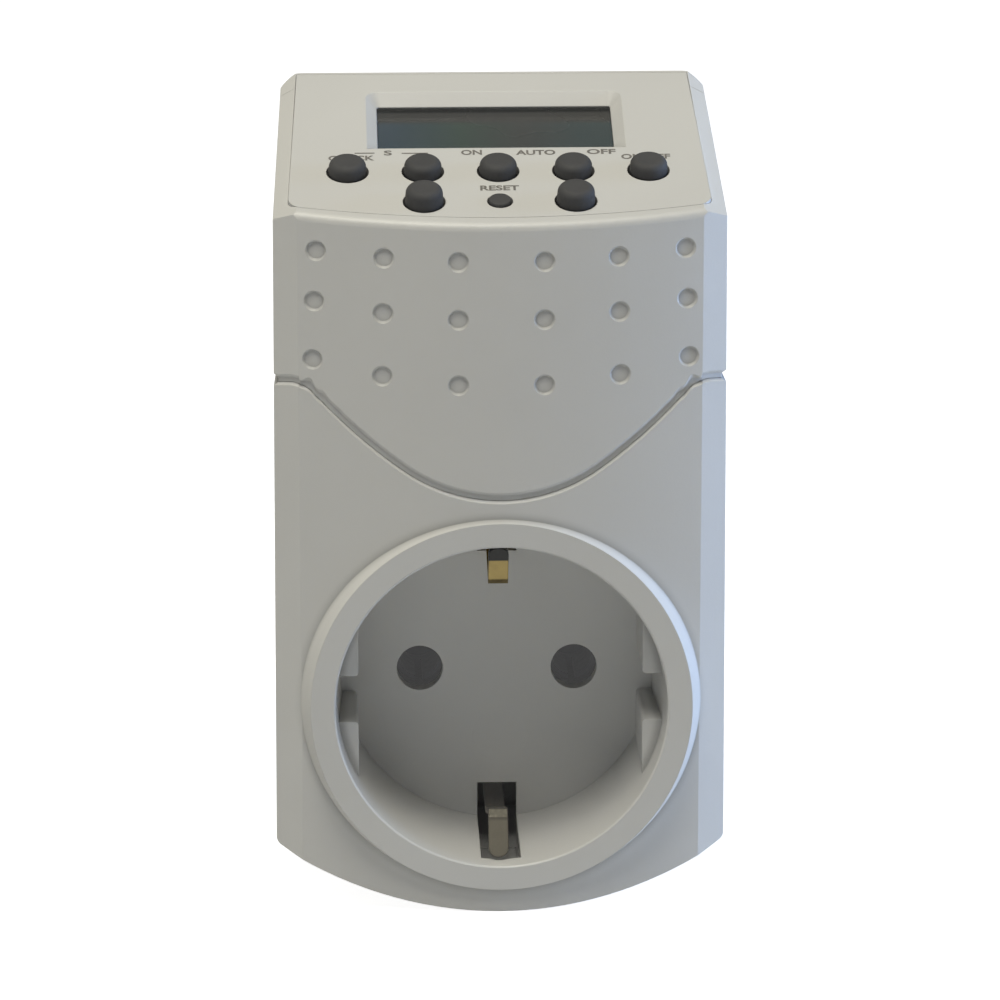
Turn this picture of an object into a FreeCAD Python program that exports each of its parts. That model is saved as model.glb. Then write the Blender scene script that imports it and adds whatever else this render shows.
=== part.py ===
"""Digital plug-in timer with an earthed socket, in millimetres.

X runs to the right, Y from the front to the wall, Z up. The origin is the middle of the plug
base's end face, on the common axis of the plug and the socket.
"""
import FreeCAD
import Part
import math
import os

# Body
width_top = 53.9            # across the sides at the shoulder
width_bottom = 54.6         # across the sides at the foot
side_draft = 1.0            # each side leans in from front to back
housing_depth = 34.8        # collar face to rear face
foot_drop = 25.9            # socket axis down to the lowest point
foot_radius = 52.5          # curve of the bottom edge
foot_corner = 1.1
bow_radius = 108.0          # curve of the front, seen from above
bevel_width = 2.9           # upright bevels beside the front
bevel_depth = 1.6
wall = 2.0
rear_rim = 3.5              # depth of the rear shell's rim
seam_gap = 0.05             # between housing pieces that meet
corner_rear = 3.0           # upright rear edges

# Sloping top
panel_tilt = 19.7
shoulder_height = 60.5      # top plane above the socket axis at the side edges
shoulder_depth = 4.7        # collar face to that point
strip_break = 24.15         # half width of the flat part of the top
strip_slope = 0.5           # drop of the side strips per millimetre
ridge_round = 1.1

# Control panel
panel_thickness = 2.0
panel_front = -2.2          # front edge at the middle, along the slope from the shoulder
panel_rear_gap = 0.34       # rear edge, short of the end of the top
panel_half_front = 25.1
panel_half_rear = 24.0
panel_corner = 2.0
panel_fit = 0.05
panel_ledge = 1.6           # width and thickness of the ledge under the panel's edge
panel_lip = 0.4             # rear shell left behind the panel's rear edge

# Display
bezel_half = 15.6
bezel_front = 13.7
bezel_behind = 4.75         # bezel to the end of the top
window_half = 14.25
window_front = 15.95
window_behind = 1.65        # window opening to the bezel's rear edge
bezel_depth = 1.3
bezel_corner = 1.5          # rear corners of the bezel, at the top
bezel_corner_low = 0.3
window_lip = 0.9            # window beyond its opening all round
window_thickness = 0.7
glass_thickness = 2.2
glass_margin = 3.05         # glass beyond the window opening in front
glass_margin_side = 1.6
glass_margin_rear = 0.6
glass_gap = 0.05
frame_wall = 1.0
strip_thickness = 1.4
strip_half = 13.0

# Keys
key_pitch = 9.0
key_row_rear = 8.35
key_row_front = 1.45
key_hole = 5.1
key_radius = 2.3
key_top_radius = 2.15
key_height_rear = 1.6       # the rear row stands lower than the front row
key_height_front = 2.05
key_edge = 0.85
key_flange = 2.85
key_flange_thickness = 0.8
key_play = 0.15
key_relief = 0.4            # room round the flanges in the panel ledge
mat_thickness = 0.6
mat_half = 21.6
mat_front = -0.9
mat_rear = 11.3
dome_low = 2.4
dome_high = 1.6
dome_wall = 0.5
reset_hole = 3.1
reset_radius = 1.4
reset_height = 0.35
reset_edge = 0.2
reset_flange = 2.0
reset_dome_low = 1.9
reset_dome_high = 1.2

# Parting groove between the front covers
groove_low = 25.5           # height of its lowest point above the socket axis
groove_high = 39.55         # height of its crests
groove_radius = 20.6        # low middle arc
groove_turn = 35.0          # degrees from level at which the wide arcs take over
groove_wide = 65.0          # wide arcs that lead into the 45 degree flanks
groove_shoulder = 3.3       # rounded shoulders
groove_fall = 0.1           # drop beyond the crests per millimetre
groove_depth = 0.45
groove_lip = 0.32           # height of the bevelled edge of the lower cover
groove_width = 0.62         # flat band above it
groove_flank = 0.38         # height of the overhanging edge of the upper cover

# Dimples
dimple_width = 2.5
dimple_floor = 2.0          # flat floor inside the sloping rim
dimple_depth = 0.35
dimple_columns = (5.1, 13.9, 21.9)
dimple_rows = (55.8, 49.7, 42.6)
dimple_sag = (1.15, 2.1, 3.0)
dimple_splay = 0.25

# Socket
collar_proud = 0.9          # collar face before the middle of the bowed front
collar_radius = 23.0
collar_flare = 0.32
collar_length = 5.2
recess_radius = 20.0
recess_floor_radius = 19.3
recess_depth = 17.5
recess_chamfer = 0.2
cup_wall = 1.7
floor_thickness = 2.0
floor_margin = 1.0          # recess floor beyond the recess all round
guide_half = 17.2
guide_gap = 5.8
guide_round = 0.5           # inner corners of the guide ribs
guide_start = 4.5
pin_pitch = 19.0
pin_hole = 5.7
slot_width = 4.85
slot_inner = 14.9
slot_start = 2.6
slot_reach = 23.6

# Plug
boss_radius = 18.4
boss_length = 17.0
boss_wall = 2.0
boss_hollow = 15.4
boss_groove_width = 5.6
boss_groove_half = 17.0
boss_earth_width = 6.0
boss_earth_half = 16.3
pin_radius = 2.4
pin_length = 19.0
pin_neck = 2.2              # thinner part that passes through the plug base
pin_step = 0.3              # neck left in front of the base
pin_tail = 7.0
pin_collar = 3.1
pin_collar_thickness = 1.2

# Earth straps
strap_width = 2.4
strap_thickness = 0.7
strap_apex = 14.25          # innermost point of the contact spring
strap_apex_depth = 5.0
strap_tip = 19.4
strap_tip_depth = 2.0
strap_tip_round = 1.1
strap_floor = 17.3
strap_fold = 2.4            # spring leaves its slot this far above the recess floor
strap_play = 0.3
strap_offset = -0.3         # the straps stand a little beside the middle

# Contacts
sleeve_outer = 3.3
sleeve_inner = 2.45
sleeve_length = 10.0
sleeve_slit = 0.9
tag_length = 2.2
tag_half = 1.5
tag_thickness = 0.8
sleeve_gap = 3.0            # recess floor to the sleeves
sleeve_back = 1.2           # closed back of a sleeve
carrier_half_width = 14.0
carrier_half_height = 6.0
carrier_depth = 12.0
carrier_play = 0.2          # carrier openings beyond the pin holes all round

# Boards
board_thickness = 1.6
board_drop = 5.2            # top plane down to the control board
board_half = 22.4
board_front = -1.1
board_behind = 5.1          # control board to the end of the top
board_post = 1.9
board_post_half = 20.0
board_post_front = 13.6
board_post_behind = 3.3     # rear posts to the board's rear edge
board_screw_head = 1.7
board_pilot = 0.8
pilot_end = 0.6             # pilot holes run this far into the panel
power_half = 16.0
power_low = 26.0
power_high = 55.0
power_gap = 3.2             # rear wall to power board
peg_half = 13.5
peg_heights = (32.0, 51.0)
peg_radius = 1.15
peg_proud = 0.6
peg_play = 0.1

# Parts on the boards, each as width, height and reach from the board
relay_size = (20.2, 10.5, 15.7)
relay_place = (-5.4, 44.1)
film_size = (17.5, 8.4, 14.5)
film_place = (-1.6, 33.6)
bridge_size = (8.4, 5.4, 3.2)
bridge_place = (7.0, 52.1)
smoothing_radius = 4.0
smoothing_length = 11.5
smoothing_place = (10.4, 44.3)
varistor_radius = 4.4
varistor_thickness = 3.6
varistor_place = (10.2, 34.2)
link_pins = 5
link_pitch = 2.54
link_place = (-4.4, 52.8)
battery_radius = 5.6
battery_height = 5.4
battery_side = 8.0
battery_behind = 12.8       # battery to the end of the top
chip_size = 11.0
chip_height = 1.8
chip_place = (-8.0, 10.6)
crystal_radius = 1.5
crystal_length = 8.0
crystal_place = (6.0, 6.0)

# Wires
wire_radius = 0.9
wire_margin = 1.4           # lower edge of the power board to the wires' ends
wire_front = 4.4            # how far they stand off it

# Screws
screw_radius = 1.5
screw_head = 2.7
screw_head_thickness = 1.8
screw_length = 11.0
screw_well = 8.0
sleeve_boss = 3.7
screw_play = 0.15
screw_inset = 6.65          # side of the top to the screws
screw_heights = (-14.4, 28.0, 47.6)

# Derived places
y_rear = -boss_length
y_face = y_rear - housing_depth
y_front = y_face + collar_proud
y_floor = y_face + recess_depth
y_split = y_rear - rear_rim
tilt = math.radians(panel_tilt)
along = FreeCAD.Vector(0, math.cos(tilt), math.sin(tilt))
outward = FreeCAD.Vector(0, -math.sin(tilt), math.cos(tilt))
shoulder = FreeCAD.Vector(0, y_face + shoulder_depth, shoulder_height)
top_end = (housing_depth - shoulder_depth) / math.cos(tilt)
panel_rear = top_end - panel_rear_gap
bezel_rear = top_end - bezel_behind
window_rear = bezel_rear - window_behind
board_rear = top_end - board_behind
board_post_rear = board_rear - board_post_behind
battery_place = (battery_side, top_end - battery_behind)
wire_height = power_low + wire_margin
screw_places = tuple((width_top / 2 - screw_inset, z) for z in screw_heights)
far = 90.0                  # longer than the body, for cutting blocks
parts = {}


def vec(x, y, z):
    return FreeCAD.Vector(x, y, z)


def line(a, b):
    return Part.LineSegment(a, b).toShape()


def arc(a, middle, b):
    return Part.Arc(a, middle, b).toShape()


def block(x0, x1, y0, y1, z0, z1):
    return Part.makeBox(x1 - x0, y1 - y0, z1 - z0, vec(x0, y0, z0))


def rod(radius, y0, y1, x=0.0, z=0.0):
    return Part.makeCylinder(radius, y1 - y0, vec(x, y0, z), vec(0, 1, 0))


def taper(r0, r1, y0, y1, x=0.0, z=0.0):
    return Part.makeCone(r0, r1, y1 - y0, vec(x, y0, z), vec(0, 1, 0))


def on_panel(x, s, h=0.0):
    """Point at x, distance s up the slope from the shoulder and height h above the top plane."""
    return shoulder + vec(x, 0, 0) + along * s + outward * h


def panel_block(x0, x1, s0, s1, h0, h1):
    corner = on_panel(x0, s0, h0)
    base = Part.makePolygon([corner, on_panel(x1, s0, h0), on_panel(x1, s1, h0),
                             on_panel(x0, s1, h0), corner])
    return Part.Face(base).extrude(outward * (h1 - h0))


def panel_rod(radius, x, s, h0, h1):
    return Part.makeCylinder(radius, h1 - h0, on_panel(x, s, h0), outward)


def panel_taper(r0, r1, x, s, h0, h1):
    return Part.makeCone(r0, r1, h1 - h0, on_panel(x, s, h0), outward)


def front_outline(y, inset):
    """Outline of the body seen from the front, in the plane at y, drawn in by inset."""
    top = far
    z_centre = foot_radius - foot_drop
    radius = foot_radius - inset
    lean = (width_bottom - width_top) / 2 / (shoulder_height + foot_drop)
    half_low = width_bottom / 2 - inset
    half_high = half_low - lean * (top + foot_drop)
    corner = max(foot_corner - inset / 2, 0.5)
    xc = half_low - corner
    zc = z_centre - math.sqrt((radius - corner) ** 2 - xc ** 2)
    reach = radius / (radius - corner)
    foot = vec(xc * reach, y, z_centre + (zc - z_centre) * reach)
    turn = math.atan2(foot.z - zc, foot.x - xc) / 2
    bend = vec(xc + corner * math.cos(turn), y, zc + corner * math.sin(turn))
    side = vec(half_low, y, zc)

    def mirror(p):
        return vec(-p.x, p.y, p.z)

    high = vec(half_high, y, top)
    edges = [arc(mirror(foot), vec(0, y, z_centre - radius), foot), arc(foot, bend, side),
             line(side, high), line(high, mirror(high)), line(mirror(high), mirror(side)),
             arc(mirror(side), mirror(bend), mirror(foot))]
    return Part.Wire(edges)


def bow(x):
    """How far the bowed front lies behind its middle at x."""
    return bow_radius - math.sqrt(bow_radius ** 2 - x ** 2)


def front_y(x):
    """The front surface at x, bevels included."""
    edge = width_top / 2 - bevel_width
    if abs(x) <= edge:
        return y_front + bow(x)
    return y_front + bow(edge) + (abs(x) - edge) * bevel_depth / bevel_width


def plan_prism(inset):
    """Everything behind the bowed front and its bevels, with rounded rear edges."""
    edge = width_top / 2 - bevel_width - inset * 0.6
    y0 = y_front + inset
    wide = width_bottom / 2 + 6
    crease = vec(edge, y0 + bow(edge), -far)
    wing = vec(wide, crease.y + (wide - edge) * bevel_depth / bevel_width, -far)
    back = y_rear - inset
    round_back = max(corner_rear - inset, 0.3)
    half_back = width_bottom / 2 - side_draft - inset
    tail_side = vec(half_back + 0.05, back - round_back, -far)
    cut_back = round_back * (1 - math.sqrt(0.5))
    tail_mid = vec(half_back - cut_back, back - cut_back, -far)
    tail_back = vec(half_back - round_back, back, -far)

    def mirror(p):
        return vec(-p.x, p.y, p.z)

    out = vec(wide, tail_side.y, -far)
    edges = [arc(mirror(crease), vec(0, y0, -far), crease), line(crease, wing), line(wing, out),
             line(out, tail_side), arc(tail_side, tail_mid, tail_back), line(tail_back, mirror(tail_back)),
             arc(mirror(tail_back), mirror(tail_mid), mirror(tail_side)),
             line(mirror(tail_side), mirror(out)), line(mirror(out), mirror(wing)),
             line(mirror(wing), mirror(crease))]
    return Part.Face(Part.Wire(edges)).extrude(vec(0, 0, 2 * far))


def top_prism(inset):
    """Everything under the top plane and its sloping side strips."""
    reach = 12.0
    drop = strip_slope * reach
    points = [(-strip_break - reach, -inset - drop), (-strip_break, -inset), (strip_break, -inset),
              (strip_break + reach, -inset - drop), (strip_break + reach, -2 * far),
              (-strip_break - reach, -2 * far)]
    corners = [on_panel(x, -far, h) for x, h in points]
    return Part.Face(Part.makePolygon(corners + corners[:1])).extrude(along * (2 * far))


def body_form(inset):
    """The outer form of the whole body, drawn in by inset."""
    y0 = y_face
    lean = side_draft / (housing_depth - shoulder_depth)
    start = inset - lean * shoulder_depth
    hull = Part.makeLoft([front_outline(y0, start), front_outline(y_rear, inset + side_draft)], True, True)
    return hull.common(plan_prism(inset)).common(top_prism(inset))


def rounded_body():
    """The outer form with its front ridge rounded."""
    solid = body_form(0.0)
    ridge = []
    for edge in solid.Edges:
        middle = edge.CenterOfMass
        rise = (middle - shoulder).dot(outward)
        if abs(rise) < 0.05 and middle.y < y_front + 4 and abs(middle.x) < 3:
            ridge.append(edge)
    return solid.makeFillet(ridge_round, ridge)


def groove_joints():
    """The points where the middle arc, the wide arc, the 45 degree flank and the shoulder meet."""
    turn = math.radians(groove_turn)
    half_turn = math.sqrt(0.5)
    x0 = groove_radius * math.sin(turn)
    z0 = groove_low + groove_radius * (1 - math.cos(turn))
    x1 = x0 + groove_wide * (half_turn - math.sin(turn))
    z1 = z0 + groove_wide * (math.cos(turn) - half_turn)
    z2 = groove_high - groove_shoulder * (1 - half_turn)
    x2 = x1 + z2 - z1
    return (x0, z0), (x1, z1), (x2, z2), (x2 + groove_shoulder * half_turn, groove_high)


def groove_height(x):
    """Height of the parting curve at x: arcs, 45 degree flanks, rounded shoulders and level ends."""
    x = abs(x)
    (x0, z0), (x1, z1), (x2, _), (x3, _) = groove_joints()
    if x < x0:
        return groove_low + groove_radius - math.sqrt(groove_radius ** 2 - x ** 2)
    if x < x1:
        turn = math.radians(groove_turn)
        across = x - x0 + groove_wide * math.sin(turn)
        return z0 + groove_wide * math.cos(turn) - math.sqrt(groove_wide ** 2 - across ** 2)
    if x < x2:
        return z1 + x - x1
    if x < x3:
        return groove_high - groove_shoulder + math.sqrt(groove_shoulder ** 2 - (x3 - x) ** 2)
    return groove_high - groove_fall * (x - x3)


def parting_prism(shift, depth):
    """Everything under the parting curve, raised by shift, from the front back to depth."""
    x0, x1, x2, x3 = (joint[0] for joint in groove_joints())
    y = y_face - 1

    def at(x):
        return vec(x, y, groove_height(x) + shift)

    turn = x3 - groove_shoulder * math.sin(math.radians(22.5))
    wide = width_bottom
    edges = [arc(at(-x0), at(0), at(x0)), arc(at(x0), at((x0 + x1) / 2), at(x1)), line(at(x1), at(x2)),
             arc(at(x2), at(turn), at(x3)), line(at(x3), at(wide)), line(at(wide), vec(wide, y, -far)),
             line(vec(wide, y, -far), vec(-wide, y, -far)), line(vec(-wide, y, -far), at(-wide)),
             line(at(-wide), at(-x3)), arc(at(-x3), at(-turn), at(-x2)), line(at(-x2), at(-x1)),
             arc(at(-x1), at(-(x0 + x1) / 2), at(-x0))]
    return Part.Face(Part.Wire(edges)).extrude(vec(0, depth, 0))


def groove_points(z, spread, out):
    """Section of the groove as depth and height: bevelled lip, flat band, overhanging edge.

    Its inner corner lies within the seam between the covers.
    """
    over = out / groove_depth
    z = z + seam_gap / 2
    return [(-out, z - groove_lip * (1 + over)), (groove_depth, z), (groove_depth, z + groove_width * spread),
            (-out, z + (groove_width + groove_flank * (1 + over)) * spread)]


def groove_section(x):
    """The groove's section on the front at x, wider upright where the curve is steep."""
    step = 0.05
    slope = (groove_height(x + step) - groove_height(x - step)) / (2 * step)
    y = front_y(x)
    corners = [vec(x, y + d, z) for d, z in groove_points(groove_height(x), math.hypot(1, slope), 0.4)]
    return Part.makePolygon(corners + corners[:1])


def parting_groove():
    """The groove along the parting curve and back along both sides."""
    edge = width_top / 2 - bevel_width
    half = width_top / 2
    crest = groove_joints()[3][0]
    steps = 28
    middle = [edge * i / steps for i in range(-steps, steps + 1)]
    cutter = Part.makeLoft([groove_section(x) for x in middle], True, False)
    ends = []
    for side in (-1, 1):
        stations = (edge, crest, half + 1.0)
        ends.append(Part.makeLoft([groove_section(side * x) for x in stations], True, True))
        y = front_y(half) - 1
        corners = [vec(side * (half - d), y, z) for d, z in groove_points(groove_height(half), 1.0, 1.0)]
        face = Part.Face(Part.makePolygon(corners + corners[:1]))
        ends.append(face.extrude(vec(-side * side_draft, y_split - y, 0)))
    return cutter.fuse(ends)


def panel_outline(grow, h):
    """Outline of the control panel, grown by grow, at height h over the top plane."""
    r = panel_corner + grow
    front = panel_front - grow
    rear = panel_rear + grow
    x_front = panel_half_front + grow
    x_rear = panel_half_rear + grow
    corner_x = x_front - r
    corner_s = front + bow(corner_x) + r
    side = on_panel(x_front, corner_s, h)
    mid = on_panel(corner_x + r * math.sqrt(0.5), corner_s - r * math.sqrt(0.5), h)
    low = on_panel(corner_x, corner_s - r, h)
    side_m = on_panel(-x_front, corner_s, h)
    mid_m = on_panel(-corner_x - r * math.sqrt(0.5), corner_s - r * math.sqrt(0.5), h)
    low_m = on_panel(-corner_x, corner_s - r, h)
    back = on_panel(x_rear, rear, h)
    back_m = on_panel(-x_rear, rear, h)
    edges = [arc(low_m, on_panel(0, front, h), low), arc(low, mid, side), line(side, back),
             line(back, back_m), line(back_m, side_m), arc(side_m, mid_m, low_m)]
    return Part.Wire(edges)


def panel_slab(grow, h0, h1):
    """Slab of the panel's outline, trimmed upright so that the rear lip stays behind it."""
    slab = Part.Face(panel_outline(grow, h0)).extrude(outward * (h1 - h0))
    return slab.common(block(-far, far, -2 * far, y_rear - panel_lip + grow, -far, 2 * far))


def board_post_places():
    """Places of the four posts that carry the control board."""
    return [(side * board_post_half, s) for s in (board_post_front, board_post_rear) for side in (-1, 1)]


def key_places():
    """Name, place across, place up the slope and height of the seven large keys."""
    rear = ("clock_key", "summer_key", "mode_key", "timer_key", "on_off_key")
    places = [(name, (i - 2) * key_pitch, key_row_rear, key_height_rear) for i, name in enumerate(rear)]
    places.append(("hour_key", -key_pitch, key_row_front, key_height_front))
    places.append(("minute_key", key_pitch, key_row_front, key_height_front))
    return places


def dimples():
    """Shallow round dimples with flat floors on the upper cover, in three sagging rows."""
    rim = (dimple_width - dimple_floor) / 2 / dimple_depth
    lift = 0.3
    tools = []
    for row, z in enumerate(dimple_rows):
        for place, column in enumerate(dimple_columns):
            x = column + dimple_splay * row * place / 2
            drop = dimple_sag[row] * (1 - (column / dimple_columns[-1]) ** 2)
            lean = math.asin(x / bow_radius)
            for side in (-1, 1):
                inward = vec(-side * math.sin(lean), math.cos(lean), 0)
                mouth = vec(side * x, front_y(x), z - drop) - inward * lift
                tools.append(Part.makeCone(dimple_width / 2 + rim * lift, dimple_floor / 2,
                                           dimple_depth + lift, mouth, inward))
    return tools


def on_both_sides(places):
    """Each place and its mirror image across the middle."""
    return [(side * x, z) for x, z in places for side in (-1, 1)]


def with_screw_posts(shell, room, places):
    """Add the posts that take the housing screws, kept inside room, with their pilot holes."""
    end = y_rear - screw_well - wall
    for x, z in on_both_sides(places):
        shell = shell.fuse(rod(sleeve_boss, y_face, end, x, z).common(room.fuse(shell)))
        shell = shell.cut(rod(screw_radius, end - screw_length, end, x, z))
    return shell


def panel_seat(cavity):
    """Ledge under the panel's edge, relieved round the flanges of the front keys."""
    low = -panel_thickness - panel_ledge
    seat = cavity.common(panel_slab(panel_ledge, low, -panel_thickness))
    seat = seat.common(block(-far, far, y_face, y_split, -far, far))
    tools = [panel_slab(-panel_ledge, -far, 1.0)]
    for _, x, s, _ in key_places():
        tools.append(panel_rod(key_flange + key_relief, x, s, low - 1, 1))
    tools.append(panel_rod(reset_flange + key_relief, 0, key_row_front, low - 1, 1))
    return seat.cut(tools)


def timer_front_cover(form, cavity, groove):
    """Upper front shell: dimpled front, sides, and the pocket that takes the control panel."""
    shell = form.cut(cavity)
    shell = shell.common(block(-far, far, y_face - 1, y_split, -far, far))
    shell = shell.cut(parting_prism(seam_gap, 2 * far)).fuse(panel_seat(cavity))
    shell = shell.cut(panel_slab(panel_fit, -panel_thickness, 5.0))
    room = cavity.common(block(-far, far, y_face, far, groove_high + 3, far))
    shell = with_screw_posts(shell, room, screw_places[2:])
    shell = shell.cut(groove)
    for dimple in dimples():
        shell = shell.cut(dimple)
    return shell.removeSplitter()


def recess_cutter():
    """The round recess with its bright rim chamfer and a slight draft."""
    mouth = recess_radius + recess_chamfer + 1.0
    lip = taper(mouth, recess_radius, y_face - 1.0, y_face + recess_chamfer)
    deep = taper(recess_radius, recess_floor_radius, y_face + recess_chamfer, y_floor)
    return lip.fuse(deep)


def guide_ribs():
    """The four guide ribs, two on each side, cut to the round wall."""
    ribs = []
    round_wall = rod(recess_radius + 0.6, y_face + guide_start, y_floor)
    for side in (-1, 1):
        for up in (-1, 1):
            x0, x1 = sorted((side * guide_half, side * (recess_radius + 1)))
            z0, z1 = sorted((up * guide_gap / 2, up * recess_radius))
            rib = block(x0, x1, y_face + guide_start, y_floor, z0, z1)
            corner = [e for e in rib.Edges if abs(abs(e.CenterOfMass.x) - guide_half) < 0.01
                      and abs(abs(e.CenterOfMass.z) - guide_gap / 2) < 0.01]
            ribs.append(rib.makeFillet(guide_round, corner).common(round_wall))
    return ribs


def earth_slots(y0, y1):
    """The openings for the earth springs above and below the axis."""
    half = slot_width / 2
    return [block(-half, half, y0, y1, slot_inner, slot_reach),
            block(-half, half, y0, y1, -slot_reach, -slot_inner)]


def lower_front_cover(form, cavity, groove):
    """Lower front shell with the flared collar and the cup of the socket."""
    shell = form.cut(cavity)
    shell = shell.common(block(-far, far, y_face - 1, y_split, -far, far))
    shell = shell.common(parting_prism(0.0, 2 * far)).cut(groove)
    flare = collar_radius + collar_flare * collar_length
    collar = taper(collar_radius, flare, y_face, y_face + collar_length)
    cup = rod(recess_radius + cup_wall, y_face + 1, y_floor)
    shell = shell.fuse([collar, cup])
    room = cavity.cut(rod(recess_radius, y_face, y_floor))
    shell = with_screw_posts(shell, room, screw_places[:2])
    shell = shell.cut(recess_cutter()).fuse(guide_ribs())
    return shell.cut(earth_slots(y_face + slot_start, y_floor)).removeSplitter()


def socket_floor():
    """Floor of the recess with the pin holes and the notches for the earth springs."""
    disc = rod(recess_radius + floor_margin, y_floor, y_floor + floor_thickness)
    holes = [rod(pin_hole / 2, y_floor - 1, y_floor + floor_thickness + 1, side * pin_pitch / 2)
             for side in (-1, 1)]
    return disc.cut(holes + earth_slots(y_floor - 1, y_floor + floor_thickness + 1))


def plug_boss():
    """The round plug base with side grooves and flats for the earth contacts."""
    boss = rod(boss_radius, y_rear - wall / 2, 0)
    boss = boss.cut(rod(boss_hollow, y_rear - wall, -boss_wall))
    tools = []
    for side in (-1, 1):
        x0, x1 = sorted((side * boss_groove_half, side * far))
        tools.append(block(x0, x1, y_rear, 1, -boss_groove_width / 2, boss_groove_width / 2))
        z0, z1 = sorted((side * boss_earth_half, side * far))
        tools.append(block(-boss_earth_width / 2, boss_earth_width / 2, y_rear, 1, z0, z1))
        tools.append(rod(pin_neck, -boss_wall - 1, 1, side * pin_pitch / 2))
    return boss.cut(tools)


def strap_passages():
    """The two slots through which the earth straps leave the rear wall."""
    half = strap_width / 2 + strap_play
    x0 = strap_offset - half
    x1 = strap_offset + half
    tools = []
    for up in (-1, 1):
        z0, z1 = sorted((up * (boss_earth_half - 0.1), up * (strap_floor + strap_thickness + strap_play)))
        tools.append(block(x0, x1, y_rear - 2 * wall, y_rear + 0.6, z0, z1))
    return tools


def rear_housing(form, cavity):
    """Rear shell with its rim, the plug base and the wells of the housing screws."""
    shell = form.cut(cavity)
    shell = shell.common(block(-far, far, y_split + seam_gap, y_rear, -far, far))
    shell = shell.cut(panel_slab(panel_fit, -panel_thickness, 5.0))
    shell = shell.cut(rod(boss_hollow, y_rear - 2 * wall, y_rear + 1))
    shell = shell.fuse(plug_boss()).cut(strap_passages())
    board_back = y_rear - wall - power_gap
    for x, z in power_pegs():
        shell = shell.fuse(rod(peg_radius + 1.0, board_back, y_rear - wall / 2, x, z))
        shell = shell.fuse(rod(peg_radius, board_back - board_thickness - peg_proud, y_rear - wall, x, z))
    seat = y_rear - screw_well
    for x, z in on_both_sides(screw_places):
        shell = shell.fuse(rod(sleeve_boss, seat - wall + seam_gap, y_rear, x, z))
        shell = shell.cut(rod(screw_head + 2 * screw_play, seat, y_rear + 1, x, z))
        shell = shell.cut(rod(screw_radius + screw_play, seat - wall - 1, y_rear, x, z))
    return shell.removeSplitter()


def bezel_outline(half, front, rear, corner, h):
    """Outline of the display opening at height h, with rounded rear corners."""
    diagonal = corner * (1 - math.sqrt(0.5))

    def at(x, s):
        return on_panel(x, s, h)

    edges = [line(at(-half, front), at(half, front)), line(at(half, front), at(half, rear - corner)),
             arc(at(half, rear - corner), at(half - diagonal, rear - diagonal), at(half - corner, rear)),
             line(at(half - corner, rear), at(corner - half, rear)),
             arc(at(corner - half, rear), at(diagonal - half, rear - diagonal), at(-half, rear - corner)),
             line(at(-half, rear - corner), at(-half, front))]
    return Part.Wire(edges)


def control_panel():
    """Inset top panel with the sloping bezel of the display and the key holes."""
    slab = panel_slab(0.0, -panel_thickness, 0.0)
    top = bezel_outline(bezel_half, bezel_front, bezel_rear, bezel_corner, 0.0)
    low = bezel_outline(window_half, window_front, window_rear, bezel_corner_low, -bezel_depth)
    tools = [Part.makeLoft([top, low], True, True)]
    lip = window_lip + panel_fit
    tools.append(panel_block(-window_half - lip, window_half + lip, window_front - lip,
                             window_rear + lip, -panel_thickness - 1, -bezel_depth))
    for _, x, s, _ in key_places():
        tools.append(panel_rod(key_hole / 2, x, s, -panel_thickness - 1, 1))
    tools.append(panel_rod(reset_hole / 2, 0, key_row_front, -panel_thickness - 1, 1))
    slab = slab.cut(tools)
    posts = []
    for x, s in board_post_places():
        posts.append(panel_rod(board_post, x, s, -board_drop, -panel_thickness))
    slab = slab.fuse(posts)
    pilots = [panel_rod(board_pilot, x, s, -board_drop, -panel_thickness + pilot_end)
              for x, s in board_post_places()]
    return slab.cut(pilots).removeSplitter()


def lcd_window():
    return panel_block(-window_half - window_lip, window_half + window_lip, window_front - window_lip,
                       window_rear + window_lip, -bezel_depth - window_thickness, -bezel_depth)


def glass_outline(grow, h0, h1):
    """Block of the display glass, grown by grow."""
    half = window_half + glass_margin_side + grow
    return panel_block(-half, half, window_front - glass_margin - grow,
                       window_rear + glass_margin_rear + grow, h0, h1)


def lcd_module():
    top = -panel_thickness - glass_gap
    return glass_outline(0.0, top - glass_thickness, top)


def lcd_frame():
    """Frame round the display glass, standing on the control board."""
    frame = glass_outline(panel_fit + frame_wall, -board_drop, -panel_thickness - glass_gap)
    return frame.cut(glass_outline(panel_fit, -board_drop - 1, 0))


def lcd_contact_strips():
    """The two soft contact strips between the display glass and the board."""
    top = -panel_thickness - glass_gap - glass_thickness
    front = window_front - glass_margin + glass_gap
    rear = window_rear + glass_margin_rear - glass_gap - strip_thickness
    solids = [panel_block(-strip_half, strip_half, s, s + strip_thickness, -board_drop, top)
              for s in (front, rear)]
    return Part.makeCompound(solids)


def key(x, s, radius, top_radius, height, edge, flange):
    """A round key: tapering cap with a rounded edge, neck and retaining flange."""
    cap = panel_taper(radius, top_radius, x, s, 0.0, height)
    rim = [e for e in cap.Edges if abs((e.CenterOfMass - shoulder).dot(outward) - height) < 0.01
           and e.Length > 1]
    cap = cap.makeFillet(edge, rim)
    flange_top = -panel_thickness - key_play
    neck = panel_rod(radius, x, s, flange_top, 0.0)
    disc = panel_rod(flange, x, s, flange_top - key_flange_thickness, flange_top)
    return cap.fuse([neck, disc]).removeSplitter()


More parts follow.
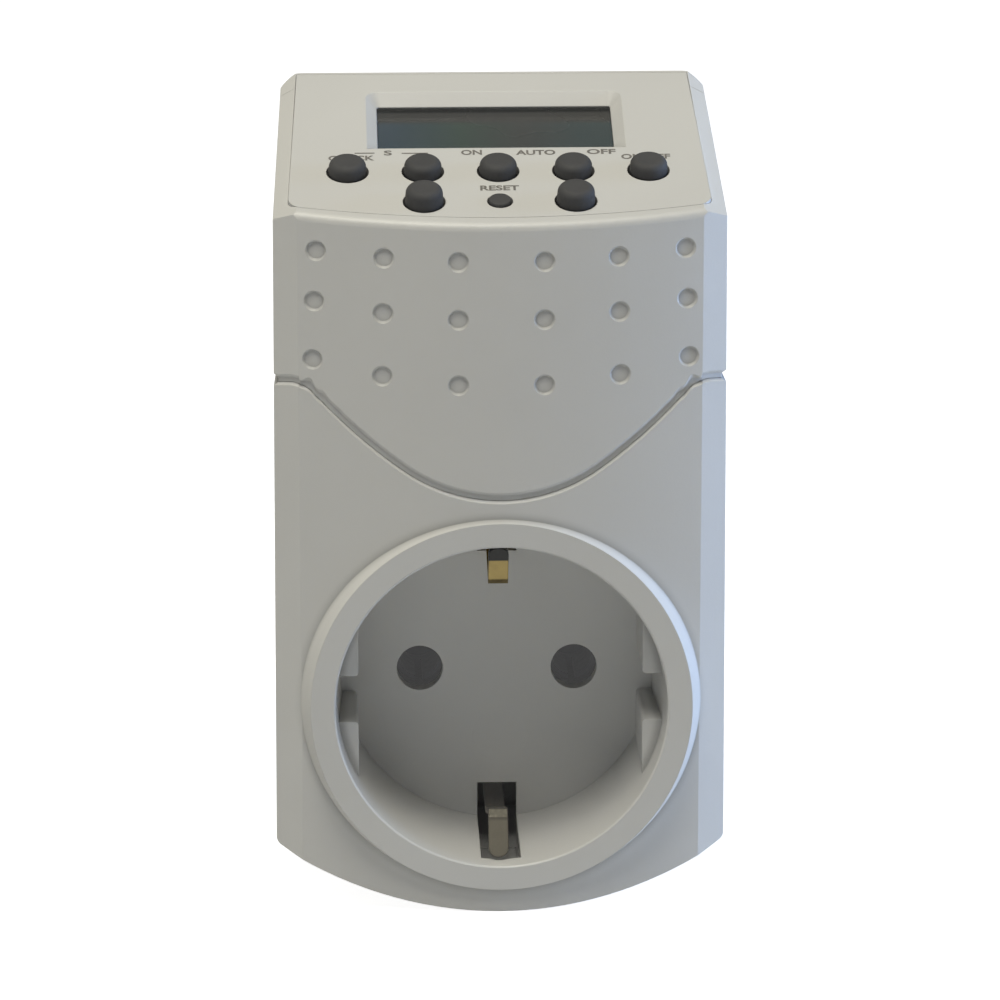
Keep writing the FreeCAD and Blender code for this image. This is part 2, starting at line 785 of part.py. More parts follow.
def keypad_mat():
    """Rubber mat on the board with a hollow dome under each key."""
    base = -board_drop
    dome_top = -panel_thickness - key_play - key_flange_thickness
    sheet = panel_block(-mat_half, mat_half, mat_front, mat_rear, base, base + mat_thickness)
    domes = []
    hollows = []
    places = [(x, s, dome_low, dome_high) for _, x, s, _ in key_places()]
    places.append((0.0, key_row_front, reset_dome_low, reset_dome_high))
    for x, s, low, high in places:
        domes.append(panel_taper(low, high, x, s, base, dome_top))
        roof = dome_top - mat_thickness
        hollows.append(panel_taper(low - dome_wall, high - dome_wall, x, s, base, roof))
    return sheet.fuse(domes).cut(hollows).removeSplitter()


def control_board():
    """Board under the keys and the display."""
    under = -board_drop - board_thickness
    slab = panel_block(-board_half, board_half, board_front, board_rear, under, -board_drop)
    return slab.cut([panel_rod(board_pilot + 0.3, x, s, under - 1, 0) for x, s in board_post_places()])


def board_screws():
    """Four small screws that hold the control board to the panel."""
    under = -board_drop - board_thickness
    solids = []
    for x, s in board_post_places():
        shank = panel_rod(board_pilot, x, s, under, -panel_thickness)
        solids.append(shank.fuse(panel_rod(board_screw_head, x, s, under - 1.0, under)))
    return Part.makeCompound(solids)


def housing_screws():
    """Six cross-slotted screws in the wells of the rear shell."""
    seat = y_rear - screw_well
    top = seat + screw_head_thickness
    reach = 1.6
    half = 0.35
    solids = []
    for x, z in on_both_sides(screw_places):
        head = rod(screw_head, seat, top, x, z)
        shank = rod(screw_radius, seat - screw_length + 1, seat, x, z)
        flat = block(x - reach, x + reach, seat + 1.0, top + 1, z - half, z + half)
        upright = block(x - half, x + half, seat + 1.0, top + 1, z - reach, z + reach)
        solids.append(head.fuse(shank).cut([flat, upright]))
    return Part.makeCompound(solids)


def plug_pin(side):
    """Plug pin with a rounded tip, a neck through the base and a collar behind it."""
    x = side * pin_pitch / 2
    pin = rod(pin_radius, pin_step, pin_length, x)
    tip = [e for e in pin.Edges if abs(e.CenterOfMass.y - pin_length) < 0.01 and e.Length > 1]
    pin = pin.makeFillet(pin_radius * 0.75, tip)
    neck = rod(pin_neck, pin_tail_end(), pin_step, x)
    collar = rod(pin_collar, -boss_wall - seam_gap - pin_collar_thickness, -boss_wall - seam_gap, x)
    return pin.fuse([neck, collar]).removeSplitter()


def sleeve_start():
    return y_floor + floor_thickness + sleeve_gap


def flat_tag(x, y0, y1):
    half = tag_thickness / 2
    return block(x - tag_half, x + tag_half, y0, y1, -half, half)


def socket_sleeve(side):
    """Slit spring sleeve behind a pin hole, with its solder tag."""
    x = side * pin_pitch / 2
    start = sleeve_start()
    tube = rod(sleeve_outer, start, start + sleeve_length, x)
    tube = tube.cut(rod(sleeve_inner, start - 1, start + sleeve_length - sleeve_back, x))
    slit = block(x - sleeve_slit / 2, x + sleeve_slit / 2, start - 1, start + sleeve_length - 3, -far, far)
    tag = flat_tag(x, start + sleeve_length, tag_end())
    return tube.cut(slit).fuse(tag).removeSplitter()


def contact_carrier():
    """Insulating block behind the recess floor that holds the two sleeves."""
    start = y_floor + floor_thickness
    body = block(-carrier_half_width, carrier_half_width, start, start + carrier_depth,
                 -carrier_half_height, carrier_half_height)
    tools = []
    for side in (-1, 1):
        x = side * pin_pitch / 2
        tools.append(rod(pin_hole / 2 + carrier_play, start - 1, sleeve_start(), x))
        tools.append(rod(sleeve_outer + seam_gap, sleeve_start(), start + carrier_depth + 1, x))
    return body.cut(tools)


def earth_strap(up):
    """One bent strip: contact spring in front, flat run inside, plug earth contact behind."""
    t = strap_thickness
    y_slot = y_floor - strap_fold
    y_back = -1.5
    inner = boss_earth_half
    path = [(y_face + strap_tip_depth, strap_tip), (y_face + strap_apex_depth - 0.9, strap_apex + 0.75),
            (y_face + strap_apex_depth, strap_apex), (y_face + strap_apex_depth + 1.3, strap_apex + 0.35),
            (y_slot, strap_floor), (y_rear - 1.0, strap_floor), (y_rear + 0.6, inner), (y_back, inner)]
    low = [vec(0, y, z) for y, z in path]
    high = []
    for i, (y, z) in enumerate(path):
        y0, z0 = path[max(i - 1, 0)]
        y1, z1 = path[min(i + 1, len(path) - 1)]
        length = math.hypot(y1 - y0, z1 - z0)
        high.append(vec(0, y - (z1 - z0) / length * t, z + (y1 - y0) / length * t))
    loop = low + high[::-1]
    face = Part.Face(Part.makePolygon(loop + loop[:1]))
    strip = face.extrude(vec(strap_width, 0, 0))
    strip.translate(vec(strap_offset - strap_width / 2, 0, 0))
    tip = [e for e in strip.Edges if abs(e.CenterOfMass.z - strap_tip) < 0.6
           and abs(e.CenterOfMass.y - y_face - strap_tip_depth) < 1.0
           and abs(e.CenterOfMass.x - strap_offset) > 1.0 and e.Length < t + 0.1]
    strip = strip.makeFillet(strap_tip_round, tip)
    if up < 0:
        strip = strip.mirror(vec(0, 0, 0), vec(0, 0, 1))
    return strip


def earth_bridge():
    """Flat strip behind the contact carrier that joins the two earth straps."""
    start = y_floor + floor_thickness + carrier_depth
    half = strap_width / 2
    return block(strap_offset - half, strap_offset + half, start, start + strap_thickness,
                 -strap_floor, strap_floor)


def power_pegs():
    """Places of the pegs that carry the power board."""
    return [(side * peg_half, z) for side in (-1, 1) for z in peg_heights]


def power_face():
    """The front face of the power board, where its parts stand."""
    return y_rear - wall - power_gap - board_thickness


def power_board():
    """Upright board with the relay and the mains parts."""
    y = power_face()
    slab = block(-power_half, power_half, y, y + board_thickness, power_low, power_high)
    return slab.cut([rod(peg_radius + peg_play, y - 1, y + 3, x, z) for x, z in power_pegs()])


def on_board(size, place):
    """Box of width, height and reach, standing on the power board at place."""
    width, height, reach = size
    x, z = place
    y = power_face()
    return block(x - width / 2, x + width / 2, y - reach, y, z - height / 2, z + height / 2)


def relay():
    """Sealed relay with a bevelled case."""
    case = on_board(relay_size, relay_place)
    front = power_face() - relay_size[2]
    edges = [e for e in case.Edges if abs(e.CenterOfMass.y - front) < 0.01]
    return case.makeChamfer(0.6, edges)


def dropper_capacitor():
    """Film capacitor in a moulded box."""
    case = on_board(film_size, film_place)
    edges = [e for e in case.Edges if abs(e.Length - film_size[2]) < 0.01]
    return case.makeChamfer(0.5, edges)


def bridge_rectifier():
    """Small bridge rectifier on four legs."""
    width, height, reach = bridge_size
    x, z = bridge_place
    y = power_face()
    body = on_board((width, height - 1.2, reach), bridge_place)
    body.translate(vec(0, -0.5, 0))
    legs = []
    for side in (-1, 1):
        for up in (-1, 1):
            foot = (x + side * 2.4, z + up * (height / 2 - 0.6))
            legs.append(on_board((0.6, 0.9, 1.6), foot))
    return body.fuse(legs).removeSplitter()


def smoothing_capacitor():
    """Round capacitor can with a bevelled top."""
    x, z = smoothing_place
    y = power_face()
    can = rod(smoothing_radius, y - smoothing_length, y, x, z)
    top = [e for e in can.Edges if abs(e.CenterOfMass.y - y + smoothing_length) < 0.01 and e.Length > 1]
    return can.makeChamfer(0.5, top)


def varistor():
    """Coated disc on two legs."""
    x, z = varistor_place
    y = power_face()
    centre = y - varistor_radius - 1.2
    corner = vec(x - varistor_thickness / 2, centre, z)
    disc = Part.makeCylinder(varistor_radius, varistor_thickness, corner, vec(1, 0, 0))
    edges = [e for e in disc.Edges if e.Length > 2 * varistor_radius]
    disc = disc.makeChamfer(0.8, edges)
    legs = [rod(0.4, centre, y, x, z + up * 2.2) for up in (-1, 1)]
    return disc.fuse(legs).removeSplitter()


def board_link():
    """Angled pin strip that carries the low voltage up to the control board."""
    x0, z0 = link_place
    y = power_face()
    half = link_pins * link_pitch / 2
    strip = block(x0 - half, x0 + half, y - 2.4, y, z0 - 1.25, z0 + 1.25)
    reach = 3.6
    under = (y - reach - shoulder.y) * math.tan(tilt) + shoulder.z
    top = under - (board_drop + board_thickness) / math.cos(tilt) - 0.15
    pins = []
    for i in range(link_pins):
        x = x0 + (i - (link_pins - 1) / 2) * link_pitch
        pins.append(block(x - 0.3, x + 0.3, y - reach - 0.3, y, z0 - 0.3, z0 + 0.3))
        pins.append(block(x - 0.3, x + 0.3, y - reach - 0.3, y - reach + 0.3, z0 - 0.3, top))
    return strip.fuse(pins).removeSplitter()


def backup_battery():
    """Button cell stack under the control board, with welded tabs."""
    x, s = battery_place
    under = -board_drop - board_thickness
    cell = panel_rod(battery_radius, x, s, under - battery_height, under - 0.3)
    return cell.fuse(panel_block(x - 2.0, x + battery_radius + 2.0, s - 1.2, s + 1.2, under - 0.3, under))


def timer_chip():
    """Square chip with its row of leads as one flat frame."""
    x, s = chip_place
    under = -board_drop - board_thickness
    half = chip_size / 2
    body = panel_block(x - half, x + half, s - half, s + half, under - chip_height, under - 0.15)
    leads = panel_block(x - half - 1, x + half + 1, s - half - 1, s + half + 1, under - 0.3, under)
    for turn in (-1, 1):
        for i in range(9):
            place = -half + 0.6 + i * (chip_size - 1.2) / 8 + 0.35
            leads = leads.cut(panel_block(x + place, x + place + 0.5, s + turn * (half + 0.55) - 0.6,
                                          s + turn * (half + 0.55) + 0.6, under - 1, under + 1))
    return body.fuse(leads).removeSplitter()


def quartz_crystal():
    """Small crystal can lying on the board."""
    x, s = crystal_place
    under = -board_drop - board_thickness
    start = on_panel(x - crystal_length / 2, s, under - crystal_radius)
    return Part.makeCylinder(crystal_radius, crystal_length, start, vec(1, 0, 0))


def wire_tube(points):
    """Round wire along straight runs joined by tangent arcs."""
    corners = [vec(*p) for p in points]
    edges = []
    radii = []
    start = corners[0]
    for before, corner, after in zip(corners, corners[1:], corners[2:]):
        back = before - corner
        ahead = after - corner
        shorter = min(back.Length, ahead.Length)
        back.normalize()
        ahead.normalize()
        trim = 0.45 * shorter
        half_turn = (math.pi - back.getAngle(ahead)) / 2
        radius = trim / math.tan(half_turn)
        radii.append(round(radius, 2))
        bisector = back + ahead
        bisector.normalize()
        middle = corner + bisector * (radius / math.cos(half_turn) - radius)
        enter = corner + back * trim
        leave = corner + ahead * trim
        edges += [line(start, enter), arc(enter, middle, leave)]
        start = leave
    edges.append(line(start, corners[-1]))
    path = Part.Wire(edges)
    heading = corners[1] - corners[0]
    ring = Part.Wire(Part.makeCircle(wire_radius, corners[0], heading))
    tube = path.makePipeShell([ring], True, True)
    print("wire length", round(path.Length, 2), "bend radii", radii)
    return tube


def landing(x):
    """The last points of a wire that meets the power board from the front."""
    y = power_face()
    return [(x, y - wire_front, wire_height - 7.0), (x, y - wire_front, wire_height), (x, y, wire_height)]


def pin_tail_end():
    return -boss_wall - pin_tail


def tag_end():
    return sleeve_start() + sleeve_length + tag_length


def neutral_link():
    """Flat strip from the neutral sleeve to the neutral plug pin."""
    x = pin_pitch / 2
    return flat_tag(x, tag_end(), pin_tail_end())


def live_feed_wire():
    """From the live plug pin up to the power board."""
    x = -pin_pitch / 2
    y = pin_tail_end()
    return wire_tube([(x, y, 0), (x, y - 3.5, 0), (x - 2.1, y - 6.5, 3.5), (x - 2.1, y - 14.5, 13.0)]
                     + landing(-12.0))


def switched_live_wire():
    """From the power board down to the live sleeve's tag."""
    x = -pin_pitch / 2 + 0.5
    y = tag_end() - tag_length / 2
    return wire_tube([(x, y, 0.4), (x, y, 5.5), (-6.5, y - 3.4, 12.5)] + landing(-5.0))


def neutral_wire():
    """From the neutral strip up to the power board."""
    x = pin_pitch / 2
    y = tag_end() + 4.0
    return wire_tube([(x, y, 0.4), (x, y, 4.0), (x, y - 4.5, 7.5), (x + 1.0, y - 9.5, 13.0)]
                     + landing(12.0))


def build():
    form = rounded_body()
    cavity = body_form(wall)
    groove = parting_groove()
    parts["lower_front_cover"] = lower_front_cover(form, cavity, groove)
    parts["timer_front_cover"] = timer_front_cover(form, cavity, groove)
    parts["rear_housing"] = rear_housing(form, cavity)
    parts["control_panel"] = control_panel()
    parts["lcd_window"] = lcd_window()
    parts["lcd_module"] = lcd_module()
    parts["lcd_frame"] = lcd_frame()
    parts["lcd_contact_strips"] = lcd_contact_strips()
    for name, x, s, height in key_places():
        parts[name] = key(x, s, key_radius, key_top_radius, height, key_edge, key_flange)
    parts["reset_key"] = key(0, key_row_front, reset_radius, reset_radius - 0.1, reset_height,
                             reset_edge, reset_flange)
    parts["keypad_mat"] = keypad_mat()
    parts["control_board"] = control_board()
    parts["board_screws"] = board_screws()
    parts["housing_screws"] = housing_screws()
    parts["socket_floor"] = socket_floor()
    parts["live_pin"] = plug_pin(-1)
    parts["neutral_pin"] = plug_pin(1)
    parts["live_contact"] = socket_sleeve(-1)
    parts["neutral_contact"] = socket_sleeve(1)
    parts["contact_carrier"] = contact_carrier()
    parts["earth_strap_upper"] = earth_strap(1)
    parts["earth_strap_lower"] = earth_strap(-1)
    parts["earth_bridge"] = earth_bridge()
    parts["power_board"] = power_board()
    parts["relay"] = relay()
    parts["dropper_capacitor"] = dropper_capacitor()
    parts["bridge_rectifier"] = bridge_rectifier()
    parts["smoothing_capacitor"] = smoothing_capacitor()
    parts["varistor"] = varistor()
    parts["board_link"] = board_link()
    parts["backup_battery"] = backup_battery()
    parts["timer_chip"] = timer_chip()
    parts["quartz_crystal"] = quartz_crystal()
    parts["neutral_link"] = neutral_link()
    parts["live_feed_wire"] = live_feed_wire()
    parts["switched_live_wire"] = switched_live_wire()
    parts["neutral_wire"] = neutral_wire()


def save():
    os.makedirs("parts", exist_ok=True)
    for name, shape in parts.items():
        shape.exportStep(os.path.join("parts", name + ".step"))
        solids = len(shape.Solids)
        print(name, solids, "solids", round(shape.Volume, 1), "mm3", "valid", shape.isValid())


build()
save()
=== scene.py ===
import math
import bmesh
import bpy
import numpy as np
from mathutils import Matrix, Vector


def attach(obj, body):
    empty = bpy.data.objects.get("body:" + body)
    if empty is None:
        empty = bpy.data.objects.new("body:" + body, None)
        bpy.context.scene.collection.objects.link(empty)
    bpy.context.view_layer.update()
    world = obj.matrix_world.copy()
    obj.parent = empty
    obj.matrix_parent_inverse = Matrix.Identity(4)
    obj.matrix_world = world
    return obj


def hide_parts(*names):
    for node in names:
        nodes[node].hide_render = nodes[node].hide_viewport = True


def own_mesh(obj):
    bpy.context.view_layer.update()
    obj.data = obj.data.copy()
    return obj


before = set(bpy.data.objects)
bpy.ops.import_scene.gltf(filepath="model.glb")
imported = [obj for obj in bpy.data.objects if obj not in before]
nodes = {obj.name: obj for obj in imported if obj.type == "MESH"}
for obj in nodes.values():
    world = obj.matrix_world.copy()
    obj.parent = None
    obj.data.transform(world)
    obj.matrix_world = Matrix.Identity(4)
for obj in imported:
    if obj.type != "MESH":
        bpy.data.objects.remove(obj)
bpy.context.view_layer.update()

mm = 0.001
bevelSamples = 6

# The sloping top plane: a point at x, distance s up the slope from the shoulder, height h over it
panel = {"tilt": 19.7, "shoulderY": -47.1, "shoulderZ": 60.5}
tilt = math.radians(panel["tilt"])
panelFrame = Matrix((
    (1, 0, 0, 0),
    (0, math.cos(tilt), -math.sin(tilt), panel["shoulderY"] * mm),
    (0, math.sin(tilt), math.cos(tilt), panel["shoulderZ"] * mm),
    (0, 0, 0, 1)))


def addNode(tree, kind, **values):
    node = tree.nodes.new("ShaderNode" + kind)
    for key, value in values.items():
        if key in node.inputs:
            node.inputs[key].default_value = value
        else:
            setattr(node, key, value)
    return node


def newMaterial(name):
    material = bpy.data.materials.new(name)
    material.use_nodes = True
    tree = material.node_tree
    return material, tree, tree.nodes["Principled BSDF"]


def objectPlace(tree, scale=(1, 1, 1), turn=(0, 0, 0)):
    coords = addNode(tree, "TexCoord")
    mapping = addNode(tree, "Mapping")
    mapping.inputs["Scale"].default_value = scale
    mapping.inputs["Rotation"].default_value = turn
    tree.links.new(coords.outputs["Object"], mapping.inputs["Vector"])
    return mapping.outputs["Vector"]


def noise(tree, place, scale, detail=3.0, roughness=0.55):
    texture = addNode(tree, "TexNoise", Scale=scale, Detail=detail, Roughness=roughness)
    tree.links.new(place, texture.inputs["Vector"])
    return texture.outputs["Fac"]


def spread(tree, value, low, high, start=0.3, end=0.7):
    ramp = addNode(tree, "MapRange")
    ramp.inputs["From Min"].default_value = start
    ramp.inputs["From Max"].default_value = end
    ramp.inputs["To Min"].default_value = low
    ramp.inputs["To Max"].default_value = high
    tree.links.new(value, ramp.inputs["Value"])
    return ramp.outputs["Result"]


def blendColors(tree, factor, first, second):
    mix = addNode(tree, "Mix", data_type="RGBA")
    mix.inputs["A"].default_value = (*first, 1)
    mix.inputs["B"].default_value = (*second, 1)
    tree.links.new(factor, mix.inputs["Factor"])
    return mix.outputs["Result"]


# A very weak light of its own for contacts deep inside, which stands for the haze over the
# photograph's darkest places
def liftDark(shader, look):
    shader.inputs["Emission Color"].default_value = (1, 1, 1, 1)
    shader.inputs["Emission Strength"].default_value = look.get("lift", 0.0)


# Faint step left by an ejector: 1 inside the circle round (x, z) in millimetres, 0 outside it
def ringHeight(tree, ring):
    x, z = ring["middle"]
    flat = objectPlace(tree, (1, 0, 1))
    away = addNode(tree, "VectorMath", operation="DISTANCE")
    tree.links.new(flat, away.inputs[0])
    away.inputs[1].default_value = (x * mm, 0, z * mm)
    soft = ring["soft"] * mm / 2
    edge = ring["radius"] * mm
    return spread(tree, away.outputs["Value"], 1.0, 0.0, edge - soft, edge + soft)


# Painted shade in small hollows: the colour falls to the given share where the surface is enclosed,
# standing in for the shade that falls there
def paintHollowShade(tree, color, hollow):
    near = addNode(tree, "AmbientOcclusion", Distance=hollow["reach"] * mm,
                   samples=hollow["samples"], only_local=True)
    shade = spread(tree, near.outputs["AO"], hollow["share"], 1.0, hollow["closed"], hollow["open"])
    mix = addNode(tree, "Mix", data_type="RGBA")
    tree.links.new(shade, mix.inputs["Factor"])
    mix.inputs["A"].default_value = (0, 0, 0, 1)
    tree.links.new(color, mix.inputs["B"])
    return mix.outputs["Result"]


# Edges that catch the light as if they had a small radius
def softEdges(tree, bump, look):
    if look.get("edge", 0) > 0:
        edge = addNode(tree, "Bevel", Radius=look["edge"] * mm, samples=bevelSamples)
        tree.links.new(edge.outputs["Normal"], bump.inputs["Normal"])


# Moulded plastic: colour drifts slowly, fine spark-eroded grain, edges softened by a small radius
def plastic(name, look):
    material, tree, shader = newMaterial(name)
    place = objectPlace(tree)
    drift = spread(tree, noise(tree, place, look["driftScale"]), 0.0, 1.0)
    color = blendColors(tree, drift, look["color"], look["driftColor"])
    # Painted shade: the colour is darkened in hollows
    if "hollow" in look:
        color = paintHollowShade(tree, color, look["hollow"])
    tree.links.new(color, shader.inputs["Base Color"])
    grain = noise(tree, place, look["grainScale"], 4.0, 0.6)
    rough = spread(tree, grain, look["roughness"] - look["roughSpread"],
                   look["roughness"] + look["roughSpread"])
    tree.links.new(rough, shader.inputs["Roughness"])
    bump = addNode(tree, "Bump", Strength=look["grainStrength"], Distance=look["grainDepth"] * mm)
    tree.links.new(grain, bump.inputs["Height"])
    if "ring" in look:
        ring = addNode(tree, "Bump", Strength=look["ring"]["strength"],
                       Distance=look["ring"]["depth"] * mm)
        tree.links.new(ringHeight(tree, look["ring"]), ring.inputs["Height"])
        tree.links.new(ring.outputs["Normal"], bump.inputs["Normal"])
    softEdges(tree, bump, look)
    tree.links.new(bump.outputs["Normal"], shader.inputs["Normal"])
    shader.inputs["IOR"].default_value = look.get("ior", 1.5)
    liftDark(shader, look)
    return material


lineLook = {"smoother": 0.06, "rougher": 0.08, "strength": 0.25, "depth": 0.01}


# Metal: a little tarnish, fine lines along one axis, and, where given, another colour past a height
# over the axis, which paints light and shade on the earth straps
def metal(name, look):
    material, tree, shader = newMaterial(name)
    place = objectPlace(tree, look.get("stretch", (1, 1, 1)))
    patch = spread(tree, noise(tree, objectPlace(tree), look["patchScale"]), 0.0, 1.0)
    color = blendColors(tree, patch, look["color"], look["tarnish"])
    # Painted light and shade: past the given height over the axis the colour turns to another,
    # standing in for how that part of the strap is lit
    if "tip" in look:
        split = addNode(tree, "SeparateXYZ")
        tree.links.new(objectPlace(tree), split.inputs["Vector"])
        height = addNode(tree, "Math", operation="ABSOLUTE")
        tree.links.new(split.outputs["Z"], height.inputs[0])
        end = spread(tree, height.outputs["Value"], 0.0, 1.0, look["tip"]["start"] * mm,
                     look["tip"]["end"] * mm)
        dark = addNode(tree, "Mix", data_type="RGBA")
        dark.inputs["B"].default_value = (*look["tip"]["color"], 1)
        tree.links.new(color, dark.inputs["A"])
        tree.links.new(end, dark.inputs["Factor"])
        color = dark.outputs["Result"]
    tree.links.new(color, shader.inputs["Base Color"])
    shader.inputs["Metallic"].default_value = 1.0
    lines = noise(tree, place, look["lineScale"], 4.0, 0.6)
    rough = spread(tree, lines, look["roughness"] - lineLook["smoother"],
                   look["roughness"] + lineLook["rougher"])
    tree.links.new(rough, shader.inputs["Roughness"])
    bump = addNode(tree, "Bump", Strength=lineLook["strength"],
                   Distance=look.get("lineDepth", lineLook["depth"]) * mm)
    tree.links.new(lines, bump.inputs["Height"])
    softEdges(tree, bump, look)
    tree.links.new(bump.outputs["Normal"], shader.inputs["Normal"])
    liftDark(shader, look)
    return material


# The shell and the recess floor get painted shade in their hollows
shellLook = {"color": (0.66, 0.658, 0.645), "driftColor": (0.62, 0.618, 0.608),
             "driftScale": 22.0, "grainScale": 3200.0, "roughness": 0.42, "roughSpread": 0.05,
             "grainStrength": 0.35, "grainDepth": 0.03, "edge": 0.15,
             "hollow": {"reach": 1.2, "share": 0.6, "closed": 0.6, "open": 0.97, "samples": 4}}
keyLook = {"color": (0.064, 0.064, 0.068), "driftColor": (0.075, 0.075, 0.078), "driftScale": 300.0,
           "grainScale": 5200.0, "roughness": 0.72, "roughSpread": 0.05, "ior": 1.4,
           "grainStrength": 0.3, "grainDepth": 0.02, "edge": 0.0}
innerLook = {"color": (0.03, 0.03, 0.03), "driftColor": (0.045, 0.043, 0.04), "driftScale": 90.0,
             "grainScale": 2600.0, "roughness": 0.5, "roughSpread": 0.08,
             "grainStrength": 0.4, "grainDepth": 0.03, "edge": 0.15}

shell = plastic("shell_plastic", shellLook)
floorShell = plastic("recess_floor_plastic", dict(shellLook, edge=0.0, ring={
    "middle": (0.37, -8.8), "radius": 3.33, "soft": 0.2, "strength": 0.5, "depth": 0.04}))
keyPlastic = plastic("key_plastic", keyLook)
innerPlastic = plastic("inner_plastic", innerLook)
carrierPlastic = plastic("carrier_plastic", dict(innerLook, lift=0.04))
# LCD frame: painted light, coloured lighter than the other inner plastic so that its shaded strip
# under the window matches the display's rear band
framePlastic = plastic("frame_plastic", dict(innerLook, color=(0.09, 0.085, 0.08),
                                             driftColor=(0.1, 0.095, 0.09)))
rubber = plastic("soft_rubber", dict(innerLook, color=(0.2, 0.2, 0.21),
                                     driftColor=(0.25, 0.25, 0.25), roughness=0.7))
laminateGreen = plastic("control_laminate", dict(innerLook, color=(0.02, 0.12, 0.04),
                                                 driftColor=(0.03, 0.16, 0.05), roughness=0.35))
laminateBrown = plastic("power_laminate", dict(innerLook, color=(0.4, 0.26, 0.11),
                                               driftColor=(0.45, 0.3, 0.14), roughness=0.55))
filmYellow = plastic("film_case", dict(innerLook, color=(0.6, 0.42, 0.04),
                                       driftColor=(0.55, 0.38, 0.04)))
sleeveBlue = plastic("capacitor_sleeve", dict(innerLook, color=(0.03, 0.05, 0.14),
                                              driftColor=(0.04, 0.06, 0.17), roughness=0.3))
varistorBlue = plastic("varistor_coating", dict(innerLook, color=(0.03, 0.09, 0.35),
                                                driftColor=(0.04, 0.12, 0.4), roughness=0.35))
wireBrown = plastic("live_insulation", dict(innerLook, color=(0.16, 0.06, 0.02),
                                            driftColor=(0.2, 0.08, 0.03), roughness=0.4))
wireBlack = plastic("switched_insulation", dict(innerLook, roughness=0.4))
wireBlue = plastic("neutral_insulation", dict(innerLook, color=(0.02, 0.07, 0.35),
                                              driftColor=(0.03, 0.09, 0.4), roughness=0.4))
nickel = metal("nickel", {"color": (0.62, 0.58, 0.52), "tarnish": (0.5, 0.45, 0.38),
                          "patchScale": 260.0, "lineScale": 900.0, "stretch": (3, 0.4, 3),
                          "roughness": 0.24, "edge": 0.15})
brass = metal("contact_brass", {"color": (0.75, 0.52, 0.2), "tarnish": (0.6, 0.38, 0.14),
                                "patchScale": 220.0, "lineScale": 900.0, "stretch": (3, 0.4, 3),
                                "roughness": 0.28, "edge": 0.1})
# Upper earth strap: painted shade, its part past 17.6 mm from the axis is coloured near black for
# the shadow it lies in
strapBrass = metal("strap_brass", {"color": (0.47, 0.36, 0.15), "tarnish": (0.34, 0.26, 0.12),
                                   "patchScale": 300.0, "lineScale": 900.0, "stretch": (3, 0.4, 3),
                                   "roughness": 0.2, "edge": 0.25,
                                   "tip": {"start": 17.6, "end": 17.75,
                                           "color": (0.06, 0.06, 0.06)}})
# Lower earth strap: painted shade, the strap brass darkened to stand for the dark room it reflects,
# and painted lighter from 14.9 mm to 15.5 mm from the axis outward
strapShadedBrass = metal("strap_brass_painted_shade", {"color": (0.09, 0.085, 0.07), "tarnish": (0.075, 0.07, 0.055),
                                 "patchScale": 300.0, "lineScale": 900.0, "stretch": (3, 0.4, 3),
                                 "roughness": 0.5, "lineDepth": 0.003, "edge": 0.25, "lift": 0.02,
                                 "tip": {"start": 14.9, "end": 15.5, "color": (0.22, 0.2, 0.155)}})
# Contact sleeves: painted shade, the metal is coloured dark grey so that the pin holes read dark;
# their faint glow lifts them a little
sleeveMetal = metal("sleeve_metal", {"color": (0.12, 0.12, 0.125), "tarnish": (0.1, 0.1, 0.105),
                                     "patchScale": 220.0, "lineScale": 900.0, "roughness": 0.5,
                                     "lift": 0.043})
zinc = metal("screw_steel", {"color": (0.55, 0.56, 0.58), "tarnish": (0.42, 0.42, 0.42),
                             "patchScale": 400.0, "lineScale": 1500.0, "roughness": 0.35,
                             "edge": 0.1})


# Display glass: tinted polariser in front, drifting from blue to green to grey, and a darker
# brown-grey band towards the rear, which is a painted reflection
def displayMaterial():
    look = {"tints": [(0.05, (0.02, 0.052, 0.086)), (0.36, (0.024, 0.058, 0.044)),
                      (0.62, (0.034, 0.039, 0.038)), (0.86, (0.024, 0.052, 0.06))],
            "paintedReflection": (0.03, 0.028, 0.026), "halfWidth": 14.3, "paintedReflectionStart": 23.2, "soft": 0.5,
            "patchScale": 120.0, "roughness": (0.22, 0.3)}
    material, tree, shader = newMaterial("display_glass")
    place = objectPlace(tree, turn=(-tilt, 0, 0))
    split = addNode(tree, "SeparateXYZ")
    tree.links.new(place, split.inputs["Vector"])
    half = look["halfWidth"] * mm
    across = spread(tree, split.outputs["X"], 0.0, 1.0, -half, half)
    ramp = addNode(tree, "ValToRGB")
    for number, (spot, color) in enumerate(look["tints"]):
        if number < 2:
            stop = ramp.color_ramp.elements[number]
            stop.position = spot
        else:
            stop = ramp.color_ramp.elements.new(spot)
        stop.color = (*color, 1)
    tree.links.new(across, ramp.inputs["Fac"])
    along = panel["shoulderY"] * math.cos(tilt) + panel["shoulderZ"] * math.sin(tilt)
    edge = (along + look["paintedReflectionStart"]) * mm
    soft = look["soft"] * mm
    rear = spread(tree, split.outputs["Y"], 0.0, 1.0, edge - soft, edge + soft)
    # Painted reflection: the colour of the rear band
    mix = addNode(tree, "Mix", data_type="RGBA")
    mix.inputs["B"].default_value = (*look["paintedReflection"], 1)
    tree.links.new(ramp.outputs["Color"], mix.inputs["A"])
    tree.links.new(rear, mix.inputs["Factor"])
    tree.links.new(mix.outputs["Result"], shader.inputs["Base Color"])
    patch = noise(tree, place, look["patchScale"], 1.0)
    tree.links.new(spread(tree, patch, *look["roughness"]), shader.inputs["Roughness"])
    return material


